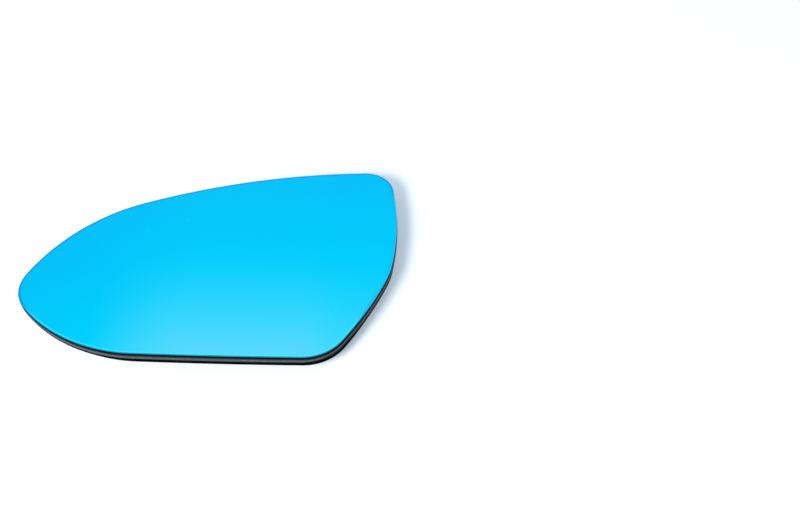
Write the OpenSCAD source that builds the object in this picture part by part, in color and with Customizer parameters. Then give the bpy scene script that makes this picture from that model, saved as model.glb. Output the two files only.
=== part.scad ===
// Car door mirror glass for the left-hand door: a convex glass bonded to a moulded plate
// X runs along the lower edge with the pointed outer end at -X, Y runs up the glass
// Z points out of the reflecting face, and the origin is in the mouth of the snap ring

/* [Outline] */
// Outer tip, across
tip_x = -106.5; // [-112:0.1:-102]
// Outer tip, up
tip_y = -17.8; // [-20:0.1:-16]
// Rounding of the outer tip
tip_r = 19; // [12:0.5:22]
// Bow of the lower outer side
lower_outer_bow = 8.8; // [7.5:0.1:9.5]
// Start of the lower edge, across
lower_x = -43; // [-46:0.1:-41]
// Start of the lower edge, up
lower_y = -57; // [-60:0.1:-56]
// Blend between the lower outer side and the lower edge
lower_r = 76; // [40:1:80]
// Bow of the lower edge
lower_bow = 1.1; // [0.7:0.1:1.6]
// Lower inner corner, across
heel_x = 53.8; // [48:0.1:58]
// Lower inner corner, up
heel_y = -57.3; // [-60:0.1:-56]
// Rounding of the lower inner corner
heel_r = 24.5; // [15:0.5:30]
// Bow of the slanting inner side
heel_bow = 2.6; // [1.5:0.1:4]
// Knee of the inner side, across
knee_x = 83.3; // [80:0.1:88]
// Knee of the inner side, up
knee_y = -3.3; // [-8:0.1:2]
// Rounding of the knee
knee_r = 43; // [25:1:60]
// Bow of the upright inner side
inner_bow = 3.9; // [3:0.1:5]
// Upper inner corner, across
crown_x = 80.7; // [76:0.1:86]
// Upper inner corner, up
crown_y = 68.6; // [64:0.1:72]
// Rounding of the upper inner corner
crown_r = 14.3; // [12.5:0.1:18]
// Bow of the upper edge
crown_bow = 5; // [3.5:0.1:5.8]
// Shoulder of the upper edge, across
shoulder_x = -52; // [-56:0.1:-48]
// Shoulder of the upper edge, up
shoulder_y = 39.8; // [38.5:0.1:43]
// Rounding of the shoulder
shoulder_r = 91; // [50:1:95]
// Bow of the upper outer side
outer_bow = 8.4; // [7:0.1:9]

/* [Glass] */
// Radius of the convex reflecting face
glass_radius = 1260; // [1000:10:1400]
// Thickness of the glass
glass_t = 2; // [1.6:0.1:2.6]
// Width of the seamed edge
seam = 0.4; // [0.2:0.05:0.6]

/* [Heater pad] */
// Thickness of the self-adhesive heating foil
pad_t = 0.3; // [0.2:0.05:1]
// Distance of the foil from the edge of the glass
pad_inset = 1.6; // [1:0.1:4]

/* [Backing plate] */
// Thickness of the plate's skin
skin_t = 2; // [1.5:0.1:3]
// Height of the straight band round the rim
band_h = 2.3; // [1.5:0.1:3.5]
// Height of the rounded underside of the rim
under_h = 2.3; // [1.5:0.1:3.5]
// Set-back of the rounded underside of the rim
under_in = 0.8; // [0.4:0.1:1.5]
// Lean of the rim wall towards the inner side
lean_x = 0.5; // [0:0.1:0.8]
// Thickness of the rim wall
rim_t = 2; // [1.6:0.1:3]
// Thickness of a rib
rib_t = 1.2; // [0.8:0.1:2]
// Height of a rib above the skin
rib_h = 2; // [1.2:0.1:2.2]
// Number of bars that cross behind the plate
bars = 6; // [4:1:8]
// Distance of the border rib from the edge
border_in = 9.5; // [7:0.5:11]

/* [Snap ring] */
// Inner radius of the ring's wall
ring_r = 34.5; // [30:0.5:38]
// Thickness of the ring's wall
ring_t = 2; // [1.6:0.1:3]
// Height of the ring behind the skin
ring_h = 11.2; // [9:0.1:15]
// Number of claws
claws = 4; // [3:1:6]
// Width of a claw, in degrees round the ring
claw_deg = 36; // [24:1:40]
// Width of the slots beside a claw
slot_w = 2.4; // [1.6:0.1:3]
// Skin side of the ring that the slots leave whole
slot_web = 2.4; // [1.5:0.1:4]
// How far a claw's nose reaches in
nose_in = 1.5; // [0.8:0.1:2]
// Height of the nose's round land
nose_land = 1.4; // [1:0.1:2]
// Height of the lead-in behind the nose
nose_lead = 1.5; // [1:0.1:2.5]
// Height of the slope in front of the nose
nose_back = 0.9; // [0.5:0.1:1.5]
// Width of the flat at the rear end of a nose
nose_flat = 0.3; // [0.1:0.05:0.5]
// Ledge between a claw and the mould's gap in the skin
slot_ledge = 0.2; // [0.1:0.05:0.5]
// Reach of the ring's gussets
gusset_w = 9; // [5:0.5:12]
// Height of the ring that the gussets leave free
gusset_free = 3.5; // [2:0.5:6]

/* [Terminals] */
// Distance of the terminals from the ring's axis
term_x = 56; // [52:0.5:60]
// Distance between the terminals
term_pitch = 26; // [22:0.5:32]
// Width of the blade
blade_w = 6.3; // [4.8:0.1:6.3]
// Thickness of the sheet brass
blade_t = 0.8; // [0.5:0.1:1]
// Length of the blade
blade_l = 8.5; // [7:0.5:9]
// Length of the foot on the foil
foot_l = 8.5; // [7:0.5:10]
// Width of the chamfers at the blade's end
blade_chamfer = 1.2; // [0.6:0.1:2]
// Radius of the blade's detent hole
detent_r = 0.9; // [0.6:0.1:1.1]
// Distance of the detent hole from the blade's end
detent_up = 3; // [2.5:0.1:4]
// Radius of the rivet's shank
rivet_r = 1.25; // [0.8:0.05:1.6]
// Radius of the rivet's head
rivet_head_r = 2.4; // [1.9:0.1:2.8]
// Height of the rivet's head
rivet_head_h = 0.7; // [0.4:0.1:1]
// Free space round the terminal's foot in its window
window_gap = 2.5; // [1.5:0.1:3]
// Rounding of the window's corners
window_r = 2; // [1:0.1:3]

/* [Hidden] */
$fn = 96;
sphere_fn = 256;
chord = 0.02;
past = 1;
room = 5;
bite = 0.5;
clearance = 0.05;

// Depths below the reflecting face, measured square to it
foil_top = glass_t;
skin_top = foil_top + pad_t;
skin_under = skin_top + skin_t;
band_under = skin_top + band_h;
rim_under = band_under + under_h;
rib_under = skin_under + rib_h;

// Heights from the origin
rear_z = -nose_lead;
skin_z = rear_z + ring_h;
apex_z = skin_z + skin_under;
centre_z = apex_z - glass_radius;
low_z = rear_z - room;
high_z = apex_z + room;

ring_out = ring_r + ring_t;
nose_r = ring_r - nose_in;
claw_step = 360 / claws;
bar_step = 180 / bars;
term_places = [[-term_x, term_pitch / 2], [-term_x, -term_pitch / 2]];
window_l = foot_l + 2 * window_gap;
window_w = blade_w + 2 * window_gap;
bend_r = blade_t;
rivet_x = foot_l / 2 - blade_w / 2;

// Outline: corners, counter-clockwise, each with its rounding and the bow of the side after it
corners = [
    [[tip_x, tip_y], tip_r, lower_outer_bow],
    [[lower_x, lower_y], lower_r, lower_bow],
    [[heel_x, heel_y], heel_r, heel_bow],
    [[knee_x, knee_y], knee_r, inner_bow],
    [[crown_x, crown_y], crown_r, crown_bow],
    [[shoulder_x, shoulder_y], shoulder_r, outer_bow]
];
corner_count = len(corners);

function around(i) = (i + corner_count) % corner_count;
function place(i) = corners[around(i)][0];
function rounding(i) = corners[around(i)][1];
function bow(i) = corners[around(i)][2];
function heading(v) = atan2(v[1], v[0]);
function sweep(a, b) = b - a - 360 * round((b - a) / 360);

// A side is an arc through two corners that bows outwards
function side_radius(i) =
    let (half = norm(place(i + 1) - place(i)) / 2)
    (half * half + bow(i) * bow(i)) / (2 * bow(i));
function side_centre(i) =
    let (d = place(i + 1) - place(i), inward = [-d[1], d[0]] / norm(d))
    (place(i) + place(i + 1)) / 2 + inward * (side_radius(i) - bow(i));

// The middle of a corner's rounding touches both sides from within
function rounding_centre(i) =
    let (a = side_radius(i - 1) - rounding(i), b = side_radius(i) - rounding(i))
    let (m = side_centre(i - 1), d = side_centre(i) - m, l = norm(d), u = d / l)
    let (x = (a * a - b * b + l * l) / (2 * l), h = sqrt(max(0, a * a - x * x)))
    let (p = m + u * x + [-u[1], u[0]] * h, q = m + u * x - [-u[1], u[0]] * h)
    norm(p - place(i)) < norm(q - place(i)) ? p : q;

function arc_stations(centre, r, from, to) =
    let (steps = max(1, ceil(sweep(from, to) / (2 * acos(1 - chord / r)))))
    [for (k = [0 : steps - 1]) [centre, r, from + sweep(from, to) * k / steps]];
function corner_stations(i) =
    let (c = rounding_centre(i), next = rounding_centre(i + 1), m = side_centre(i))
    concat(
        arc_stations(c, rounding(i), heading(c - side_centre(i - 1)), heading(c - m)),
        arc_stations(m, side_radius(i), heading(c - m), heading(next - m))
    );
stations = [for (i = [0 : corner_count - 1]) each corner_stations(i)];
station_count = len(stations);

// The outline set in by an even distance, and moved across
function rim(inset, across = 0) = [for (s = stations)
    s[0] + [across, 0] + (s[1] - inset) * [cos(s[2]), sin(s[2])]];
function dome_z(p, depth) =
    centre_z + sqrt(pow(glass_radius - depth, 2) - p[0] * p[0] - p[1] * p[1]);
function curved_ring(inset, depth, across = 0) =
    [for (p = rim(inset, across)) [p[0], p[1], dome_z(p, depth)]];
function flat_ring(inset, z, across = 0) = [for (p = rim(inset, across)) [p[0], p[1], z]];
function lean_at(depth) = lean_x * (depth - skin_top) / (rim_under - skin_top);

// A closed solid through rings of like points, from the lowest ring to the highest
module loft(rings) {
    n = len(rings[0]);
    last = (len(rings) - 1) * n;
    low = [[for (i = [0 : n - 1]) i]];
    high = [[for (i = [n - 1 : -1 : 0]) last + i]];
    walls = [for (k = [0 : len(rings) - 2], i = [0 : n - 1])
        [k * n + i, (k + 1) * n + i, (k + 1) * n + (i + 1) % n, k * n + (i + 1) % n]];
    polyhedron(points = [for (ring = rings) each ring], faces = concat(low, walls, high));
}

// Everything that lies deeper than a depth below the reflecting face
module below(depth) {
    translate([0, 0, centre_z]) rotate([90, 0, 0]) sphere(r = glass_radius - depth, $fn = sphere_fn);
}

// Children stand on the back of a layer, square to it, with +Z towards the glass
module on_back(p, depth) {
    r = glass_radius - depth;
    tilt = -asin(p[1] / r);
    translate([0, 0, centre_z])
        rotate([tilt, asin(p[0] / (r * cos(tilt))), 0])
            translate([0, 0, r]) children();
}

module mirror_glass() {
    past_seam = seam + past;
    color([0.10, 0.68, 0.95]) difference() {
        intersection() {
            loft([
                flat_ring(past_seam, low_z),
                curved_ring(past_seam, glass_t + past),
                curved_ring(0, glass_t - seam),
                curved_ring(0, seam),
                curved_ring(past_seam, -past),
                flat_ring(past_seam, high_z)
            ]);
            below(0);
        }
        below(glass_t);
    }
}

module heater_pad() {
    color([0.30, 0.30, 0.32]) difference() {
        intersection() {
            translate([0, 0, low_z]) linear_extrude(high_z - low_z) polygon(rim(pad_inset));
            below(foil_top);
        }
        below(skin_top);
        for (p = term_places) on_back(p, skin_top)
            translate([-rivet_x, 0, 0])
                cylinder(r = rivet_r + clearance, h = 4 * pad_t, center = true);
    }
}

// The solid that the rim wall encloses, whose sides lean with the wall
module rim_core(inset) {
    loft([
        flat_ring(inset, low_z, lean_x),
        curved_ring(inset, rim_under + past, lean_x),
        curved_ring(inset, skin_top - past),
        flat_ring(inset, high_z)
    ]);
}

module tray() {
    under_steps = 5;
    difference() {
        intersection() {
            loft(concat(
                [flat_ring(under_in, low_z, lean_x), curved_ring(under_in, rim_under + past, lean_x)],
                [for (k = [1 : under_steps]) let (a = 90 * (1 - k / under_steps))
                    let (depth = band_under + under_h * sin(a))
                    curved_ring(under_in * (1 - cos(a)), depth, lean_at(depth))],
                [curved_ring(0, skin_top - past), flat_ring(0, high_z)]
            ));
            below(skin_top);
        }
        intersection() {
            rim_core(rim_t);
            below(skin_under);
        }
        below(rim_under);
    }
}

// The lattice behind the skin, seen from the rear: crossing bars and a rib that follows the edge
module rib_plan() {
    reach = 2 * norm([tip_x, tip_y]);
    intersection() {
        union() {
            for (k = [0 : bars - 1]) rotate(k * bar_step) square([reach, rib_t], center = true);
            difference() {
                polygon(rim(border_in));
                polygon(rim(border_in + rib_t));
            }
        }
        polygon(rim(rim_t - bite, lean_x / 2));
    }
}

module ribs() {
    difference() {
        intersection() {
            translate([0, 0, low_z]) linear_extrude(high_z - low_z) rib_plan();
            below(skin_under - bite);
        }
        below(rib_under);
    }
}

// One claw's nose in section: lead-in, round land and the slope that holds the mate
module nose_section() {
    polygon([
        [ring_r + bite, rear_z],
        [ring_r - nose_flat, rear_z],
        [nose_r, 0],
        [nose_r, nose_land],
        [ring_r, nose_land + nose_back],
        [ring_r + bite, nose_land + nose_back]
    ]);
}

// The ring's wall with its noses, which the slots part into claws
module snap_ring() {
    nose_deg = claw_deg + asin(slot_w / ring_r);
    difference() {
        union() {
            difference() {
                translate([0, 0, rear_z]) cylinder(r = ring_out, h = ring_h + bite);
                translate([0, 0, rear_z - past]) cylinder(r = ring_r, h = ring_h + bite + 2 * past);
            }
            for (k = [0 : claws - 1]) rotate((k + 0.5) * claw_step - nose_deg / 2)
                rotate_extrude(angle = nose_deg) nose_section();
        }
        for (k = [0 : claws - 1], side = [-1, 1])
            rotate((k + 0.5) * claw_step + side * claw_deg / 2)
                translate([nose_r - past, side > 0 ? 0 : -slot_w, rear_z - past])
                    cube([ring_out - nose_r + 2 * past, slot_w, ring_h - slot_web + past]);
    }
}

// Webs that carry the ring on the bars, outside the ring
module gussets() {
    for (k = [0 : 2 * bars - 1]) rotate(k * bar_step)
        translate([0, rib_t / 2, 0]) rotate([90, 0, 0]) linear_extrude(rib_t)
            polygon([
                [ring_out - bite, rear_z + gusset_free],
                [ring_out, rear_z + gusset_free],
                [ring_out + gusset_w, skin_z - rib_h],
                [ring_out + gusset_w, skin_z],
                [ring_out - bite, skin_z]
            ]);
}

// A rounded rectangle, centred
module rounded(l, w, r) {
    square([l - 2 * r, w], center = true);
    square([l, w - 2 * r], center = true);
    for (x = [-1, 1], y = [-1, 1]) translate([x * (l / 2 - r), y * (w / 2 - r)]) circle(r);
}

module windows(grow) {
    for (p = term_places) on_back(p, skin_under)
        translate([0, 0, -rib_h]) linear_extrude(rib_h + 2 * skin_t)
            rounded(window_l + 2 * grow, window_w + 2 * grow, window_r + grow);
}

// Gaps in the skin through which the mould forms the noses
module nose_slots() {
    for (k = [0 : claws - 1]) rotate((k + 0.5) * claw_step - claw_deg / 2)
        translate([0, 0, skin_z - rib_h - bite]) rotate_extrude(angle = claw_deg)
            translate([nose_r, 0]) square([nose_in - slot_ledge, high_z - skin_z]);
}

module backing_plate() {
    color([0.13, 0.13, 0.14]) difference() {
        union() {
            tray();
            ribs();
            snap_ring();
            intersection() {
                gussets();
                below(skin_under - bite);
            }
            difference() {
                intersection() {
                    windows(rib_t);
                    below(skin_under - bite);
                }
                below(rib_under);
            }
        }
        windows(0);
        nose_slots();
    }
}

// A spade terminal bent from sheet, with its foot on the foil and its blade to the rear
module terminal(p) {
    blade_x = foot_l / 2;
    color([0.80, 0.68, 0.36]) on_back(p, skin_top + clearance) mirror([0, 0, 1]) difference() {
        union() {
            translate([-foot_l / 2, -blade_w / 2, 0])
                cube([foot_l - bend_r, blade_w, blade_t]);
            translate([blade_x - bend_r, blade_w / 2, bend_r]) rotate([90, 0, 0])
                linear_extrude(blade_w) intersection() {
                    circle(bend_r);
                    translate([0, -bend_r]) square(bend_r);
                }
            translate([blade_x - blade_t, 0, bend_r]) rotate([90, 0, 90])
                linear_extrude(blade_t) blade_outline();
        }
        translate([-rivet_x, 0, -past])
            cylinder(r = rivet_r + clearance, h = blade_t + 2 * past);
    }
}

module blade_outline() {
    length = blade_l - bend_r;
    difference() {
        polygon([
            [-blade_w / 2, 0],
            [blade_w / 2, 0],
            [blade_w / 2, length - blade_chamfer],
            [blade_w / 2 - blade_chamfer, length],
            [blade_chamfer - blade_w / 2, length],
            [-blade_w / 2, length - blade_chamfer]
        ]);
        translate([0, length - detent_up]) circle(detent_r);
    }
}

// A rivet through the foil and the terminal's foot, with a domed head at the rear
module rivet(p) {
    foot_under = clearance + blade_t;
    dome_r = (rivet_head_r * rivet_head_r + rivet_head_h * rivet_head_h) / (2 * rivet_head_h);
    color([0.72, 0.72, 0.74]) on_back(p, skin_top) mirror([0, 0, 1]) translate([-rivet_x, 0, 0]) {
        translate([0, 0, clearance - pad_t])
            cylinder(r = rivet_r, h = pad_t - clearance + foot_under + bite / 2);
        translate([0, 0, foot_under + clearance / 2]) intersection() {
            translate([0, 0, rivet_head_h - dome_r]) sphere(dome_r);
            cylinder(r = rivet_head_r, h = rivet_head_h);
        }
    }
}

mirror_glass();
heater_pad();
backing_plate();
terminal(term_places[0]);  // terminal_upper
terminal(term_places[1]);  // terminal_lower
rivet(term_places[0]);  // rivet_upper
rivet(term_places[1]);  // rivet_lower
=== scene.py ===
"""Looks of a car door mirror glass: the blue pane, its moulded backing plate, foil and terminals."""

import math

import bpy
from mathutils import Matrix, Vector


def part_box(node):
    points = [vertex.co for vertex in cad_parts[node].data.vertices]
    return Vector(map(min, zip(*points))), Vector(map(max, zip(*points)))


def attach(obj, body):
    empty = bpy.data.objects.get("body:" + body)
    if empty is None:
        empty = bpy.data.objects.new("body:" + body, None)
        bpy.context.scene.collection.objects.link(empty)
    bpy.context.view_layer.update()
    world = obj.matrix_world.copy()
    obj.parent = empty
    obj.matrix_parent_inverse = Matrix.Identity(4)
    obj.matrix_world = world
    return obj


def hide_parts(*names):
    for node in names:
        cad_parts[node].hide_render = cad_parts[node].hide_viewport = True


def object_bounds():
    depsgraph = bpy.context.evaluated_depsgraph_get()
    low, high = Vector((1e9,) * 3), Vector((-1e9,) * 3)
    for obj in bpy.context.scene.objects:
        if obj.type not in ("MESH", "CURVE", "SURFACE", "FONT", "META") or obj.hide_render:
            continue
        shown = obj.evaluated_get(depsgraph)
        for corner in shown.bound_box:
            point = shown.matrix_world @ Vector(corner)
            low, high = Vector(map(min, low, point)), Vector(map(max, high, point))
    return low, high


bl_info = {
    "name": "Car door mirror glass",
    "version": (1, 0, 0),
    "blender": (4, 5, 0),
    "location": "3D View > Sidebar > Mirror glass",
    "description": "Dresses the fixed frame of a door mirror glass with its finished pieces",
    "category": "Object",
}

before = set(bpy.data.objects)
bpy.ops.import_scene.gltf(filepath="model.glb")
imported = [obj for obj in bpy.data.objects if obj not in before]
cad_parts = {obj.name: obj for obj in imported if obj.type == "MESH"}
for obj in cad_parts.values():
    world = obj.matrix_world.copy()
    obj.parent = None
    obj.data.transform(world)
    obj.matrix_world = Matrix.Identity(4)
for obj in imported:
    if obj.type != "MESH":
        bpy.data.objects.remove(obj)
CAD_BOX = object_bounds()

MM = 0.001
BODY = "root"
PANE_LOW, PANE_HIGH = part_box("mirror_glass")
FLOOR_Z = CAD_BOX[0].z
APEX_Z = PANE_HIGH.z
GLASS_T = 2.0 * MM
# A face's normal points this far up, or more, on the pane's face and on its bevel
FACE_ON = 0.9
SEAM_ON = 0.3
# It points less far up than this on an upright wall
UPRIGHT = 0.2
# Size of the last ring of faces round the middle, as a share of a ring's step
LAST_RING = 0.15
# The place of the photograph's camera, and the point at the middle of its picture
CAMERA_PLACE = Vector((96.62, -392.06, 480.46)) * MM
CAMERA_TARGET = Vector((88.27, -0.74, 14.0)) * MM


# Sizes and colours that a user would change


class GlassLook(bpy.types.PropertyGroup):
    """Sizes and colours of the pane."""

    dome_radius: bpy.props.FloatProperty(
        name="Dome radius", description="Radius of the convex face", default=1.26, unit="LENGTH")
    rings: bpy.props.IntProperty(
        name="Rings", description="Rings of faces between the edge and the middle", default=36)
    line: bpy.props.FloatProperty(
        name="Rim line", description="Width of the line that runs inside the edge of the face",
        default=0.35 * MM, unit="LENGTH")
    # Width of the ring in which a dark painted shade stands for the far wall seen through the glass.
    through: bpy.props.FloatProperty(
        name="Wall seen through", description="Width in which the dark far wall shows through the glass",
        default=0.55 * MM, unit="LENGTH")
    # Coat and Light coat are the two ends of a painted reflection on the coat: the deeper blue where it is
    # weakest, the lighter blue where it is strongest.
    coat: bpy.props.FloatVectorProperty(
        name="Coat", description="Colour of the blue reflecting coat at its deepest",
        default=(0.0, 0.446, 0.920), size=3, subtype="COLOR")
    painted_lit_coat: bpy.props.FloatVectorProperty(
        name="Light coat", description="Colour of the blue reflecting coat at its lightest",
        default=(0.0, 0.693, 1.0), size=3, subtype="COLOR")
    dust: bpy.props.FloatVectorProperty(
        name="Dust", description="Colour of the few grains of dust on the coat",
        default=(0.35, 0.80, 1.0), size=3, subtype="COLOR")
    # Colour of a pale painted reflection laid over the lower edge of the coat.
    painted_reflection: bpy.props.FloatVectorProperty(
        name="Haze", description="Colour of the haze over the lower edge",
        default=(0.091, 0.690, 0.975), size=3, subtype="COLOR")
    # A painted highlight along the seam at the near side.
    painted_near_highlight: bpy.props.FloatVectorProperty(
        name="Near line", description="Colour of the seam where light comes through it",
        default=(0.050, 1.0, 1.0), size=3, subtype="COLOR")
    # A dark painted shade along the seam at the far side.
    painted_far_shade: bpy.props.FloatVectorProperty(
        name="Far line", description="Colour of the seam where the dark wall shows through it",
        default=(0.001, 0.320, 0.840), size=3, subtype="COLOR")
    bevel: bpy.props.FloatVectorProperty(
        name="Ground bevel", description="Colour of the narrow ground bevel at the near side",
        default=(0.0, 0.24, 0.46), size=3, subtype="COLOR")
    ground: bpy.props.FloatVectorProperty(
        name="Ground edge", description="Colour of the ground edge of the glass",
        default=(0.0010, 0.0012, 0.0015), size=3, subtype="COLOR")


class PlateLook(bpy.types.PropertyGroup):
    """Sizes and colours of the moulded plate and the foil on it."""

    band_top: bpy.props.FloatProperty(
        name="Top of the band", description="Depth below the face at which the grained band begins",
        default=2.3 * MM, unit="LENGTH")
    band_foot: bpy.props.FloatProperty(
        name="Foot of the band", description="Depth below the face at which the grained band ends",
        default=4.6 * MM, unit="LENGTH")
    square: bpy.props.FloatProperty(
        name="Square foot", description="How far the rim's rounded foot is drawn out along the lower edge",
        default=0.50 * MM, unit="LENGTH")
    plastic: bpy.props.FloatVectorProperty(
        name="Plastic", description="Colour of the black moulding",
        default=(0.022, 0.023, 0.026), size=3, subtype="COLOR")
    # The band's grey is the black moulding painted lighter where its wall faces the light.
    band: bpy.props.FloatVectorProperty(
        name="Band", description="Colour of the grained band round the rim",
        default=(0.058, 0.072, 0.078), size=3, subtype="COLOR")
    # Painted glints on the raised grains of the band.
    painted_grain_glint: bpy.props.FloatVectorProperty(
        name="Speckle", description="Colour of the raised grains in the band",
        default=(0.17, 0.21, 0.23), size=3, subtype="COLOR")
    # Near-black painted shade of the rim's foot, and of the band above and below its grained part.
    foot: bpy.props.FloatVectorProperty(
        name="Foot", description="Colour of the smooth rounded foot of the rim",
        default=(0.0010, 0.0012, 0.0014), size=3, subtype="COLOR")
    foil: bpy.props.FloatVectorProperty(
        name="Foil", description="Colour of the heating foil",
        default=(0.060, 0.060, 0.064), size=3, subtype="COLOR")
    track: bpy.props.FloatVectorProperty(
        name="Track", description="Colour of the printed heating track",
        default=(0.34, 0.33, 0.31), size=3, subtype="COLOR")


class MetalLook(bpy.types.PropertyGroup):
    """Sizes and colours of the terminals and rivets."""

    burr: bpy.props.FloatProperty(
        name="Edge rounding", description="Rounding of the stamped edges",
        default=0.07 * MM, unit="LENGTH")
    brass: bpy.props.FloatVectorProperty(
        name="Brass", description="Colour of the sheet brass",
        default=(0.78, 0.60, 0.30), size=3, subtype="COLOR")
    tarnish: bpy.props.FloatVectorProperty(
        name="Tarnish", description="Colour of the brass where it has tarnished",
        default=(0.484, 0.312, 0.126), size=3, subtype="COLOR")
    rivet: bpy.props.FloatVectorProperty(
        name="Rivet", description="Colour of the rivets",
        default=(0.72, 0.72, 0.74), size=3, subtype="COLOR")


class StageLook(bpy.types.PropertyGroup):
    """The floor, the lamp and the sky."""

    floor_size: bpy.props.FloatProperty(
        name="Floor size", description="Side of the square floor", default=8.0, unit="LENGTH")
    floor: bpy.props.FloatVectorProperty(
        name="Floor", description="Colour of the floor",
        default=(0.80, 0.80, 0.80), size=3, subtype="COLOR")
    floor_glow: bpy.props.FloatProperty(
        name="Floor glow", description="How much whiter the camera sees the floor", default=0.30)
    shade: bpy.props.FloatVectorProperty(
        name="Shade", description="Tint of the light that reaches into the shadow",
        default=(0.80, 0.99, 1.14), size=3, subtype="COLOR")
    sky: bpy.props.FloatProperty(
        name="Sky", description="Strength of the light from all round", default=0.50)
    lamp: bpy.props.FloatProperty(
        name="Lamp", description="Power of the key lamp in watts", default=105.0)
    lamp_place: bpy.props.FloatVectorProperty(
        name="Lamp place", description="Where the key lamp hangs",
        default=(-1.29, -1.98, 1.85), size=3, subtype="TRANSLATION", unit="LENGTH")
    lamp_size: bpy.props.FloatProperty(
        name="Lamp size", description="Width of the key lamp", default=1.20, unit="LENGTH")


LOOKS = {"glass_look": GlassLook, "plate_look": PlateLook, "metal_look": MetalLook, "stage_look": StageLook}


# Shader sums


class Wire:
    """A shader socket on which sums are written as Python sums."""

    def __init__(self, shader, socket):
        self.shader = shader
        self.socket = socket

    def sum(self, operation, first, second, clamp=False):
        """One Math node."""
        settings = dict(operation=operation, use_clamp=clamp)
        return self.shader.add("ShaderNodeMath", settings, {0: first, 1: second})

    def __add__(self, other):
        return self.sum("ADD", self, other)

    def __sub__(self, other):
        return self.sum("SUBTRACT", self, other)

    def __rsub__(self, other):
        return self.sum("SUBTRACT", other, self)

    def __mul__(self, other):
        return self.sum("MULTIPLY", self, other)

    def __truediv__(self, other):
        return self.sum("DIVIDE", self, other)

    def __pow__(self, other):
        return self.sum("POWER", self, other)

    def root(self):
        """Its square root."""
        return self.sum("SQRT", self, 0.0)

    def clamped(self):
        """The same value held between 0 and 1."""
        return self.sum("ADD", self, 0.0, clamp=True)

    def part(self, axis):
        """One of the three numbers of a vector."""
        return self.shader.add("ShaderNodeSeparateXYZ", {}, {0: self}, out=axis)


class Shader:
    """A material or world under construction."""

    def __init__(self, tree):
        self.tree = tree
        tree.nodes.clear()

    def add(self, kind, settings, sockets, out=0):
        """Adds a node, makes its settings first and its sockets next, and gives one of its outputs."""
        node = self.tree.nodes.new(kind)
        for name, value in settings.items():
            setattr(node, name, value)
        self.fill(node, sockets)
        return Wire(self, node.outputs[out])

    def fill(self, node, sockets):
        """Sets a node's sockets to values, or links them."""
        for name, value in sockets.items():
            if isinstance(value, Wire):
                self.tree.links.new(value.socket, node.inputs[name])
            else:
                node.inputs[name].default_value = value

    def close(self, kind, surface):
        """Links the finished shader to the tree's output node."""
        self.fill(self.tree.nodes.new(kind), {"Surface": surface})

    def blend(self, share, first, second):
        """A mix of two colours."""
        return self.add("ShaderNodeMix", dict(data_type="RGBA"), {0: share, 6: first, 7: second}, out=2)

    def noise(self, place, scale, detail, roughness):
        """Smooth noise, on Object coordinates in metres."""
        return self.add("ShaderNodeTexNoise", {},
                        {"Vector": place, "Scale": scale, "Detail": detail, "Roughness": roughness})

    def step(self, value, low, high):
        """0 below low and 1 above high, with a smooth rise between."""
        return self.add("ShaderNodeMapRange", dict(interpolation_type="SMOOTHSTEP"),
                        {0: value, 1: low, 2: high, 3: 0.0, 4: 1.0})

    def bump(self, height, distance, strength):
        """A bump from a height, in metres."""
        return self.add("ShaderNodeBump", {}, {"Height": height, "Distance": distance, "Strength": strength})

    def seen(self):
        """1 for the rays of the camera and of reflections, and 0 for the rays that carry light."""
        ray = self.tree.nodes.new("ShaderNodeLightPath")
        kinds = ("Is Camera Ray", "Is Glossy Ray", "Is Transmission Ray")
        camera, glossy, through = (Wire(self, ray.outputs[kind]) for kind in kinds)
        return (camera + glossy + through).clamped()

    def object_place(self):
        """Object coordinates, which are the row frame in metres."""
        return self.add("ShaderNodeTexCoord", {}, {}, out="Object")

    def depth(self, place, radius):
        """How far a place lies below the dome of the face."""
        x = place.part("X")
        y = place.part("Y")
        return (radius * radius - x * x - y * y).root() + (APEX_Z - radius) - place.part("Z")


def new_material(name):
    """A new material and the tools to build its shader."""
    made = bpy.data.materials.new(name)
    made.use_nodes = True
    shader = Shader(made.node_tree)
    return made, shader


def finish_material(made, shader, sockets):
    """Closes a material with one Principled shader, and gives it back."""
    shader.close("ShaderNodeOutputMaterial", shader.add("ShaderNodeBsdfPrincipled", {}, sockets))
    return made


def colour(values, share=1.0):
    """A colour property as four numbers, made lighter or darker by a share."""
    return (*(share * value for value in values), 1.0)


# Materials


def coat_with_painted_reflection(s, place, look):
    """The blue of the coat with a painted reflection: deeper at the far corners, painted lighter towards the
    lower edge and the right, with a pale painted reflection over the lower edge.
    """
    x = place.part("X")
    y = place.part("Y")
    # Smooth noise that gives the painted reflection a little uneven tone and strength.
    wipe = s.noise(place, 26.0, 4.0, 0.55)
    # Painted reflection: the share of the lighter blue grows towards the lower edge and towards the right.
    down = ((65 * MM - y) / (125 * MM)).clamped()
    across = s.step(x, -110 * MM, 0.0)
    light = down * 0.66 + across * 0.34 + (wipe - 0.5) * 0.05
    base = s.blend(light.clamped(), colour(look.coat), colour(look.painted_lit_coat))
    # A pale painted reflection over the middle of the lower edge, weaker towards its ends.
    rise = ((17 * MM - y) / (71 * MM)).clamped() ** 2.6
    ends = s.step(x, -66 * MM, -10 * MM) * (1 - s.step(x, 37 * MM, 65 * MM) * 0.43)
    painted_reflection = rise * ends * (wipe * 0.2 + 0.9)
    return s.blend(painted_reflection.clamped(), base, colour(look.painted_reflection))


def blue_coat(look):
    """Polished blue reflecting coat, with faint wiping streaks in its roughness and a little dust; its blue
    carries a painted reflection, lighter towards the lower edge.
    """
    made, s = new_material("blue_coat")
    place = s.object_place()
    wipe = s.noise(place, 28.0, 4.0, 0.55)
    dust = s.step(s.noise(place, 1300.0, 0.0, 0.5), 0.885, 0.94)
    return finish_material(made, s, {
        "Base Color": s.blend(dust * 0.30, coat_with_painted_reflection(s, place, look), colour(look.dust)),
        "Metallic": 1.0,
        "Roughness": wipe * 0.04 + 0.07 + dust * 0.3,
    })


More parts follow.
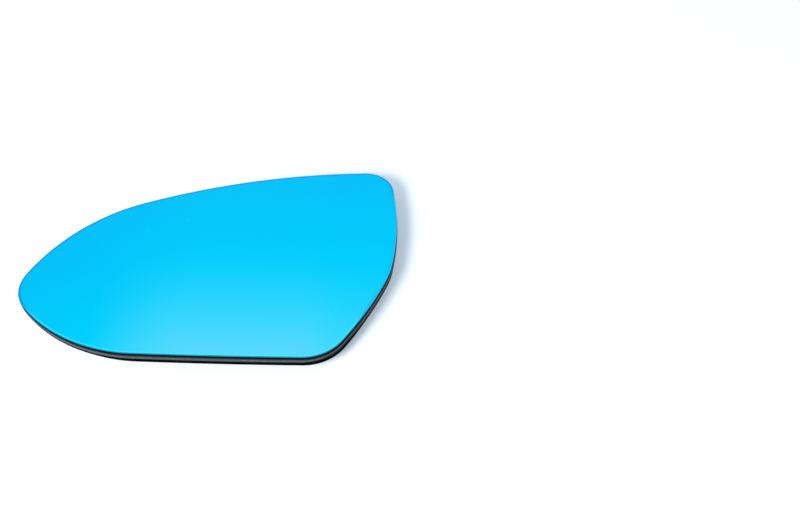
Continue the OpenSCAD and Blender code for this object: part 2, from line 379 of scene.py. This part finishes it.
def ground_edge(look):
    """The flat ground edge of the pane, dark under its paint."""
    made, s = new_material("ground_edge")
    place = s.object_place()
    grind = s.noise(place, 5200.0, 2.0, 0.6)
    return finish_material(made, s, {
        "Base Color": s.blend(grind, colour(look.ground), colour(look.ground, 3)),
        "Roughness": grind * 0.2 + 0.55,
        "Specular IOR Level": 0.0,
        "Normal": s.bump(grind, 0.02 * MM, 0.5),
    })


def ground_seam(name, look, near_colour, share):
    """A line round the face: the given colour at the near side, which for the lit seam is a painted
    highlight, a dark painted shade at the far side, and faint at the inner end, where it fades into the coat
    with its painted reflection.
    """
    made, s = new_material(name)
    place = s.object_place()
    x = place.part("X")
    y = place.part("Y")
    grind = s.noise(place, 4200.0, 3.0, 0.6)
    coat = coat_with_painted_reflection(s, place, look)
    # The far side of every seam line gets the dark painted shade.
    near = s.step(0 - y, 24 * MM, 36 * MM)
    # At the inner end the painted line fades into the coat.
    faint = s.step(x, 62 * MM, 78 * MM) * (1 - s.step(y, 46 * MM, 58 * MM)) * (1 - near)
    lit = s.blend(grind * 0.3 + share, coat, colour(near_colour))
    line = s.blend(near, colour(look.painted_far_shade), lit)
    return finish_material(made, s, {
        "Base Color": s.blend(faint * 0.85, line, coat),
        "Metallic": 1.0,
        "Roughness": grind * 0.2 + 0.28,
        "Normal": s.bump(grind, 0.01 * MM, 0.3),
    })


def black_moulding(look):
    """Black plastic with the fine spark-eroded grain of its mould."""
    made, s = new_material("black_moulding")
    place = s.object_place()
    coarse = s.noise(place, 1500.0, 2.0, 0.6)
    fine = s.noise(place, 4200.0, 3.0, 0.7)
    cloud = s.noise(place, 60.0, 3.0, 0.5)
    return finish_material(made, s, {
        "Base Color": s.blend(s.step(fine, 0.45, 0.75), colour(look.plastic), colour(look.plastic, 1.9)),
        "Roughness": cloud * 0.10 + fine * 0.16 + 0.38,
        "Specular IOR Level": 0.4,
        "Normal": s.bump(coarse * 0.6 + fine * 0.4, 0.06 * MM, 0.85),
    })


def grained_painted_lit_band(look, radius):
    """The coarse grain of the band round the rim, painted lighter than the rest of the moulding where the
    wall faces the light, with painted glints on its raised grains; above and below the band it takes the
    painted shade of the foot.
    """
    made, s = new_material("grained_painted_lit_band")
    place = s.object_place()
    grain = s.noise(place, 900.0, 3.0, 0.65)
    fine = s.noise(place, 3200.0, 2.0, 0.6)
    patch = s.noise(place, 130.0, 3.0, 0.5)
    deep = s.depth(place, radius)
    # Above the band and below its foot the colour is the dark painted shade of the foot; the shaded part
    # reaches higher towards the heel.
    below = s.step(deep, look.band_top, look.band_top + 0.7 * MM)
    lower = deep + s.step(place.part("X"), 30 * MM, 62 * MM) * (0.8 * MM)
    above = 1 - s.step(lower, look.band_foot - 0.5 * MM, look.band_foot)
    # The lighter grey of the band is a painted lit face of the black moulding, varied at random.
    base = s.blend(s.step(patch, 0.30, 0.70) * 0.5, colour(look.band), colour(look.band, 0.62))
    # Painted glints where the raised grains catch the light.
    grained = s.blend(s.step(grain, 0.56, 0.72), base, colour(look.painted_grain_glint))
    return finish_material(made, s, {
        "Base Color": s.blend(below * above, colour(look.foot), grained),
        "Roughness": fine * 0.2 + 0.50,
        "Specular IOR Level": 0.3,
        "Normal": s.bump(grain * 0.7 + fine * 0.3, 0.08 * MM, 0.8),
    })


def painted_shade_foot(look):
    """The rounded foot of the rim, left smooth and painted deep black as shade."""
    made, s = new_material("painted_shade_foot")
    place = s.object_place()
    fine = s.noise(place, 3600.0, 2.0, 0.6)
    return finish_material(made, s, {
        "Base Color": s.blend(fine, colour(look.foot), colour(look.foot, 3)),
        "Roughness": fine * 0.2 + 0.52,
        "Specular IOR Level": 0.0,
        "Normal": s.bump(fine, 0.03 * MM, 0.5),
    })


def heating_foil(look):
    """Printed heating foil: a matt film with the heating track laid in rows."""
    made, s = new_material("heating_foil")
    place = s.object_place()
    across = place.part("Y")
    row = s.add("ShaderNodeMath", dict(operation="PINGPONG"), {0: across, 1: 0.9 * MM})
    track = s.step(row, 0.34 * MM, 0.42 * MM)
    grain = s.noise(place, 1800.0, 2.0, 0.5)
    base = s.blend(track, colour(look.foil), colour(look.track))
    return finish_material(made, s, {
        "Base Color": base,
        "Metallic": track * 0.5,
        "Roughness": grain * 0.16 + 0.40 - track * 0.06,
        "Normal": s.bump(track * 0.8 + grain * 0.1, 0.02 * MM, 0.6),
    })


def sheet_brass(look):
    """Rolled sheet brass with drawn lines along the strip and a little tarnish."""
    made, s = new_material("sheet_brass")
    place = s.object_place()
    drawn = s.add("ShaderNodeMapping", {}, {"Vector": place, "Scale": (90.0, 4200.0, 90.0)})
    lines = s.noise(drawn, 1.0, 2.0, 0.5)
    tarnish = s.step(s.noise(place, 420.0, 4.0, 0.6), 0.42, 0.72)
    return finish_material(made, s, {
        "Base Color": s.blend(tarnish * 0.5, colour(look.brass), colour(look.tarnish)),
        "Metallic": 1.0,
        "Roughness": lines * 0.14 + tarnish * 0.16 + 0.20,
        "Normal": s.bump(lines, 0.01 * MM, 0.35),
    })


def rivet_metal(look):
    """Plain rivet metal with the faint rings of the closing tool."""
    made, s = new_material("rivet_metal")
    place = s.object_place()
    scuff = s.noise(place, 2400.0, 3.0, 0.6)
    return finish_material(made, s, {
        "Base Color": s.blend(scuff, colour(look.rivet), colour(look.rivet, 0.8)),
        "Metallic": 1.0,
        "Roughness": scuff * 0.2 + 0.24,
        "Normal": s.bump(scuff, 0.01 * MM, 0.3),
    })


# Modelling helpers


def in_edit_mode(obj):
    """Opens one mesh for modelling, with nothing in it selected."""
    bpy.ops.object.select_all(action="DESELECT")
    bpy.context.view_layer.objects.active = obj
    obj.select_set(True)
    bpy.ops.object.mode_set(mode="EDIT")
    bpy.ops.mesh.select_mode(type="VERT")
    bpy.ops.mesh.select_all(action="DESELECT")


def in_object_mode():
    """Closes the mesh that is being modelled."""
    bpy.ops.object.mode_set(mode="OBJECT")


def pick(obj, wanted):
    """Selects the faces that a test wants, and leaves the mesh open for modelling."""
    bpy.ops.object.mode_set(mode="EDIT")
    bpy.ops.mesh.select_mode(type="FACE")
    bpy.ops.mesh.select_all(action="DESELECT")
    in_object_mode()
    for face in obj.data.polygons:
        face.select = bool(wanted(face))
    bpy.ops.object.mode_set(mode="EDIT")


def copy_of_node(node, name):
    """A copy of a CAD node with its own mesh, whose loose triangles are merged."""
    obj = bpy.data.objects.new(name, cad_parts[node].data.copy())
    obj.data.name = name
    obj.data.materials.clear()
    bpy.context.scene.collection.objects.link(obj)
    in_edit_mode(obj)
    bpy.ops.mesh.select_all(action="SELECT")
    bpy.ops.mesh.remove_doubles(threshold=0.002 * MM)
    bpy.ops.mesh.customdata_custom_splitnormals_clear()
    in_object_mode()
    return obj


def smooth(obj, degrees):
    """Smooth shading, with creases where faces meet at more than an angle."""
    bpy.ops.object.select_all(action="DESELECT")
    bpy.context.view_layer.objects.active = obj
    obj.select_set(True)
    bpy.ops.object.shade_smooth_by_angle(angle=math.radians(degrees))


def round_edges(obj, width, segments, degrees):
    """Rounds each sharp edge with a Bevel modifier, and applies it."""
    bevel = obj.modifiers.new("edges", "BEVEL")
    bevel.width = width
    bevel.segments = segments
    bevel.limit_method = "ANGLE"
    bevel.angle_limit = math.radians(degrees)
    bevel.use_clamp_overlap = True
    bpy.context.view_layer.objects.active = obj
    bpy.ops.object.modifier_apply(modifier=bevel.name)


def stand_for(obj, node):
    """Puts a finished piece in the place of its node."""
    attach(obj, BODY)
    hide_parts(node)


def dome_height(place, depth, radius):
    """The height of the dome, or of a layer at a depth under it, over a place."""
    return APEX_Z - radius + math.sqrt((radius - depth) ** 2 - place.x ** 2 - place.y ** 2)


def fade(value, low, high):
    """0 below low and 1 above high, with a straight rise between."""
    return min(1.0, max(0.0, (value - low) / (high - low)))


def on_dome(obj, depth, radius):
    """Lays the selected vertices on the face of the dome, or a depth under it."""
    bpy.ops.object.mode_set(mode="OBJECT")
    for vertex in obj.data.vertices:
        if vertex.select:
            vertex.co.z = dome_height(vertex.co, depth, radius)
    bpy.ops.object.mode_set(mode="EDIT")
    bpy.ops.mesh.select_mode(type="VERT")


# Pieces


class MIRROR_OT_pane(bpy.types.Operator):
    """Models the convex pane with its seamed edge"""

    bl_idname = "mirror.pane"
    bl_label = "Glass pane"

    def execute(self, context):
        look = context.scene.glass_look
        pane = copy_of_node("mirror_glass", "glass_pane")
        in_edit_mode(pane)
        pick(pane, lambda face: abs(face.normal.z) > FACE_ON)
        bpy.ops.mesh.delete(type="FACE")
        self.close_side(pane, look, 0.0, look.rings)
        self.close_side(pane, look, GLASS_T, look.rings // 4)
        in_object_mode()
        pane.data.materials.append(ground_edge(look))
        # The bevel and the two rings inside the edge get painted lines: a dark painted shade at the far side,
        # and a painted highlight at the near side of the outer ring.
        pane.data.materials.append(ground_seam("ground_bevel", look, look.bevel, 0.62))
        pane.data.materials.append(ground_seam("lit_seam", look, look.painted_near_highlight, 0.62))
        pane.data.materials.append(ground_seam("painted_edge_shade", look, look.painted_near_highlight, 0.0))
        pane.data.materials.append(blue_coat(look))
        self.dress(pane, look)
        smooth(pane, 30)
        stand_for(pane, "mirror_glass")
        return {"FINISHED"}

    def close_side(self, pane, look, depth, rings):
        """Closes one side with rings that shrink towards the middle, laid on the dome."""
        middle = (PANE_LOW + PANE_HIGH) / 2
        self.pick_rim(pane, look, depth)
        for ring in range(rings):
            share = (rings - ring - 1 + LAST_RING) / (rings - ring + LAST_RING)
            bpy.ops.mesh.extrude_edges_move()
            bpy.ops.transform.resize(value=(share, share, 1.0), center_override=middle)
            on_dome(pane, depth, look.dome_radius)
            bpy.ops.mesh.select_mode(type="EDGE")
        bpy.ops.mesh.edge_face_add()
        bpy.ops.mesh.poke()
        on_dome(pane, depth, look.dome_radius)

    def dress(self, pane, look):
        """Insets the face twice, and gives each band between the ground edge and the coat its material."""
        in_edit_mode(pane)
        pick(pane, lambda face: face.normal.z > SEAM_ON)
        self.give(pane, 1)
        pick(pane, lambda face: face.normal.z > FACE_ON)
        self.give(pane, 2)
        for slot, width in ((3, look.line), (4, look.through)):
            bpy.ops.mesh.inset(thickness=width, depth=0.0, use_even_offset=True)
            self.give(pane, slot)
        in_object_mode()

    def give(self, pane, slot):
        """Gives the selected faces the material of a slot."""
        pane.active_material_index = slot
        bpy.ops.object.material_slot_assign()

    def pick_rim(self, pane, look, depth):
        """Selects the open edge that lies on the dome, or a depth under it."""
        bpy.ops.mesh.select_mode(type="EDGE")
        bpy.ops.mesh.select_all(action="DESELECT")
        bpy.ops.mesh.select_non_manifold(
            use_wire=False, use_multi_face=False, use_non_contiguous=False, use_verts=False)
        bpy.ops.object.mode_set(mode="OBJECT")
        for edge in pane.data.edges:
            places = [pane.data.vertices[v].co for v in edge.vertices]
            near = all(abs(dome_height(c, depth, look.dome_radius) - c.z) < 0.1 * MM for c in places)
            edge.select = edge.select and near
        bpy.ops.object.mode_set(mode="EDIT")


class MIRROR_OT_plate(bpy.types.Operator):
    """Finishes the moulded backing plate with its materials and smooth shading"""

    bl_idname = "mirror.plate"
    bl_label = "Backing plate"

    def execute(self, context):
        look = context.scene.plate_look
        plate = copy_of_node("backing_plate", "plate_moulding")
        in_edit_mode(plate)
        bpy.ops.mesh.select_all(action="SELECT")
        bpy.ops.mesh.dissolve_limited(angle_limit=math.radians(0.4))
        self.pick_wall(plate)
        in_object_mode()
        plate.data.materials.append(black_moulding(look))
        plate.data.materials.append(grained_painted_lit_band(look, context.scene.glass_look.dome_radius))
        plate.data.materials.append(painted_shade_foot(look))
        radius = context.scene.glass_look.dome_radius
        # The wall below the band's foot takes the painted shade of the foot.
        for face in plate.data.polygons:
            deep = dome_height(face.center, 0.0, radius) - face.center.z
            face.material_index = 0 if not face.select else 1 if deep < look.band_foot else 2
        self.draw_foot(plate, look, radius)
        smooth(plate, 28)
        stand_for(plate, "backing_plate")
        return {"FINISHED"}

    def draw_foot(self, plate, look, radius):
        """Draws the rounded foot of the rim outwards along the lower edge, most at its lowest line."""
        foot = {v for face in plate.data.polygons if face.material_index == 2 for v in face.vertices}
        normals = {v: plate.data.vertices[v].normal.copy() for v in foot}
        for v in foot:
            vertex = plate.data.vertices[v]
            deep = dome_height(vertex.co, 0.0, radius) - vertex.co.z
            share = fade(deep, look.band_foot, look.band_foot + 0.9 * MM)
            share *= fade(-vertex.co.y, 30 * MM, 45 * MM) * fade(vertex.co.x, -60 * MM, -40 * MM)
            outward = Vector((normals[v].x, normals[v].y, 0.0)).normalized()
            vertex.co += outward * look.square * share

    def pick_wall(self, plate):
        """Selects the outer side of the rim wall, from one of its faces round to the others."""
        in_object_mode()
        upright = [face for face in plate.data.polygons if abs(face.normal.z) < UPRIGHT]
        nearest = min(upright, key=lambda face: face.center.y).index
        pick(plate, lambda face: face.index == nearest)
        bpy.ops.mesh.faces_select_linked_flat(sharpness=math.radians(40))


class MIRROR_OT_foil(bpy.types.Operator):
    """Gives the heating foil its printed finish"""

    bl_idname = "mirror.foil"
    bl_label = "Heating foil"

    def execute(self, context):
        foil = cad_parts["heater_pad"]
        foil.data.materials.clear()
        foil.data.materials.append(heating_foil(context.scene.plate_look))
        return {"FINISHED"}


class MIRROR_OT_terminals(bpy.types.Operator):
    """Finishes the two spade terminals and their rivets"""

    bl_idname = "mirror.terminals"
    bl_label = "Terminals and rivets"

    def execute(self, context):
        look = context.scene.metal_look
        brass = sheet_brass(look)
        metal = rivet_metal(look)
        for side in ("upper", "lower"):
            blade = copy_of_node("terminal_" + side, "brass_terminal_" + side)
            in_edit_mode(blade)
            bpy.ops.mesh.select_all(action="SELECT")
            bpy.ops.mesh.dissolve_limited(angle_limit=math.radians(1.0))
            in_object_mode()
            round_edges(blade, look.burr, 2, 40)
            blade.data.materials.append(brass)
            smooth(blade, 35)
            stand_for(blade, "terminal_" + side)
            rivet = copy_of_node("rivet_" + side, "domed_rivet_" + side)
            rivet.data.materials.append(metal)
            smooth(rivet, 35)
            stand_for(rivet, "rivet_" + side)
        return {"FINISHED"}


class MIRROR_OT_stage(bpy.types.Operator):
    """Sets the floor, the lamps, the sky and the camera"""

    bl_idname = "mirror.stage"
    bl_label = "Stage"

    def execute(self, context):
        look = context.scene.stage_look
        context.scene.view_settings.view_transform = "Standard"
        self.lay_floor(look)
        self.hang_lamp(look)
        self.light_sky(context.scene, look)
        self.set_camera(context.scene)
        return {"FINISHED"}

    def lay_floor(self, look):
        """A plain pale floor, which the camera and reflections see as white where no shadow falls."""
        bpy.ops.object.select_all(action="DESELECT")
        bpy.ops.mesh.primitive_plane_add(size=look.floor_size, location=(0, 0, FLOOR_Z))
        floor = bpy.context.object
        floor.name = "floor"
        made, s = new_material("floor")
        floor.data.materials.append(finish_material(made, s, {
            "Base Color": colour(look.floor),
            "Roughness": 0.9,
            "Specular IOR Level": 0.1,
            "Emission Color": colour(look.shade),
            "Emission Strength": s.seen() * look.floor_glow,
        }))

    def hang_lamp(self, look):
        """A big soft lamp, low in front of the part and to its left."""
        bpy.ops.object.light_add(type="AREA", location=look.lamp_place)
        lamp = bpy.context.object
        lamp.name = "key_lamp"
        lamp.data.shape = "DISK"
        lamp.data.size = look.lamp_size
        lamp.data.energy = look.lamp
        lamp.data.color = (1.0, 0.96, 0.92)
        lamp.rotation_euler = (-lamp.location).to_track_quat("-Z", "Y").to_euler()
        lamp.visible_glossy = False

    def light_sky(self, scene, look):
        """Light from all round, which the camera and reflections see as white."""
        world = bpy.data.worlds.new("studio")
        scene.world = world
        world.use_nodes = True
        world.cycles.sampling_method = "NONE"
        s = Shader(world.node_tree)
        seen = s.seen()
        strength = seen + (1 - seen) * look.sky
        tint = s.blend(seen, colour(look.shade), colour((1.0, 1.0, 1.0)))
        sky = s.add("ShaderNodeBackground", {}, {"Color": tint, "Strength": strength})
        s.close("ShaderNodeOutputWorld", sky)

    def set_camera(self, scene):
        """The camera stands where the photograph was taken from."""
        bpy.ops.object.camera_add(location=CAMERA_PLACE)
        camera = bpy.context.object
        camera.name = "camera"
        camera.rotation_euler = (CAMERA_TARGET - CAMERA_PLACE).to_track_quat("-Z", "Y").to_euler()
        camera.data.sensor_fit = "HORIZONTAL"
        camera.data.sensor_width = 36.0
        camera.data.lens = 54.0
        camera.data.clip_start = 0.01
        camera.data.clip_end = 50.0
        scene.camera = camera


PIECES = (MIRROR_OT_pane, MIRROR_OT_plate, MIRROR_OT_foil, MIRROR_OT_terminals, MIRROR_OT_stage)


class VIEW3D_PT_mirror_glass(bpy.types.Panel):
    """Lists the pieces of the mirror glass in the sidebar"""

    bl_space_type = "VIEW_3D"
    bl_region_type = "UI"
    bl_category = "Mirror glass"
    bl_label = "Mirror glass"

    def draw(self, context):
        for name in LOOKS:
            box = self.layout.box()
            for key in LOOKS[name].__annotations__:
                box.prop(getattr(context.scene, name), key)
        for piece in PIECES:
            self.layout.operator(piece.bl_idname)


def register():
    """Adds the sizes, the operators and the panel."""
    for name, look in LOOKS.items():
        bpy.utils.register_class(look)
        setattr(bpy.types.Scene, name, bpy.props.PointerProperty(type=look))
    for piece in PIECES:
        bpy.utils.register_class(piece)
    bpy.utils.register_class(VIEW3D_PT_mirror_glass)


def unregister():
    """Takes them away again."""
    bpy.utils.unregister_class(VIEW3D_PT_mirror_glass)
    for piece in reversed(PIECES):
        bpy.utils.unregister_class(piece)
    for name, look in LOOKS.items():
        delattr(bpy.types.Scene, name)
        bpy.utils.unregister_class(look)


def main():
    """Models each piece in turn."""
    register()
    bpy.ops.mirror.pane()
    bpy.ops.mirror.plate()
    bpy.ops.mirror.foil()
    bpy.ops.mirror.terminals()
    bpy.ops.mirror.stage()


if __name__ == "__main__":
    main()
